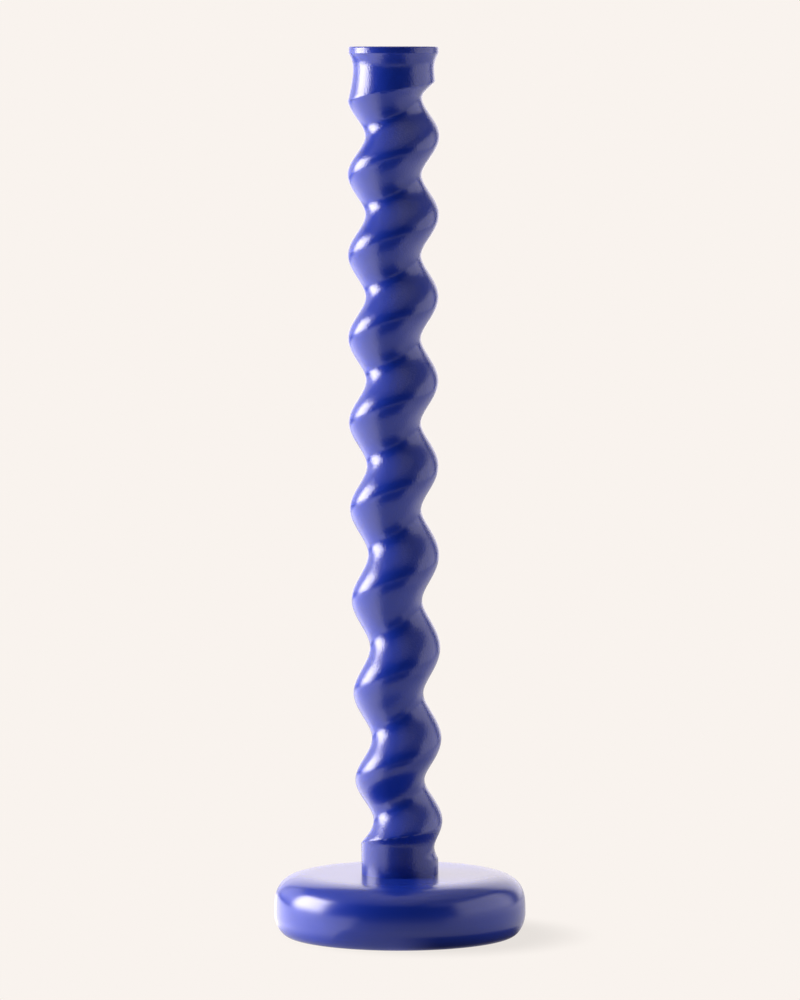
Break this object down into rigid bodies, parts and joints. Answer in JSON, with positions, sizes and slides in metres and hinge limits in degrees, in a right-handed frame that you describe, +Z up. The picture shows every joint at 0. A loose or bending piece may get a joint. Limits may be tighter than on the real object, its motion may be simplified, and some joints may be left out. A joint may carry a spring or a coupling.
{
  "type": "candlestick",
  "caption": "Tall lacquered wooden candlestick with a barley-twist stem on a thick round disc base, and a metal cup in its rim for a dinner candle.",
  "frame": {"origin": "on the table, under the centre of the round base", "axes": "+Z up along the stem, +X to the right and -Y towards the viewer"},
  "size_m": [0.1274, 0.1274, 0.45],
  "materials": {
    "base_lacquer": "satin ultramarine lacquer over turned wood",
    "stem_lacquer": "glossy ultramarine lacquer over carved wood, with fine orange peel",
    "brass": "satin turned brass",
    "zinc_steel": "zinc-plated steel",
    "felt": "pressed wool felt"
  },
  "bodies": {
    "root": {"base": "base_lacquer", "stem": "stem_lacquer", "candle_cup": "brass", "cup_screw": "zinc_steel", "threaded_insert": "brass", "fixing_bolt": "zinc_steel", "flat_washer": "zinc_steel", "spring_washer": "zinc_steel", "felt_pad": "felt"}
  },
  "joints": []
}
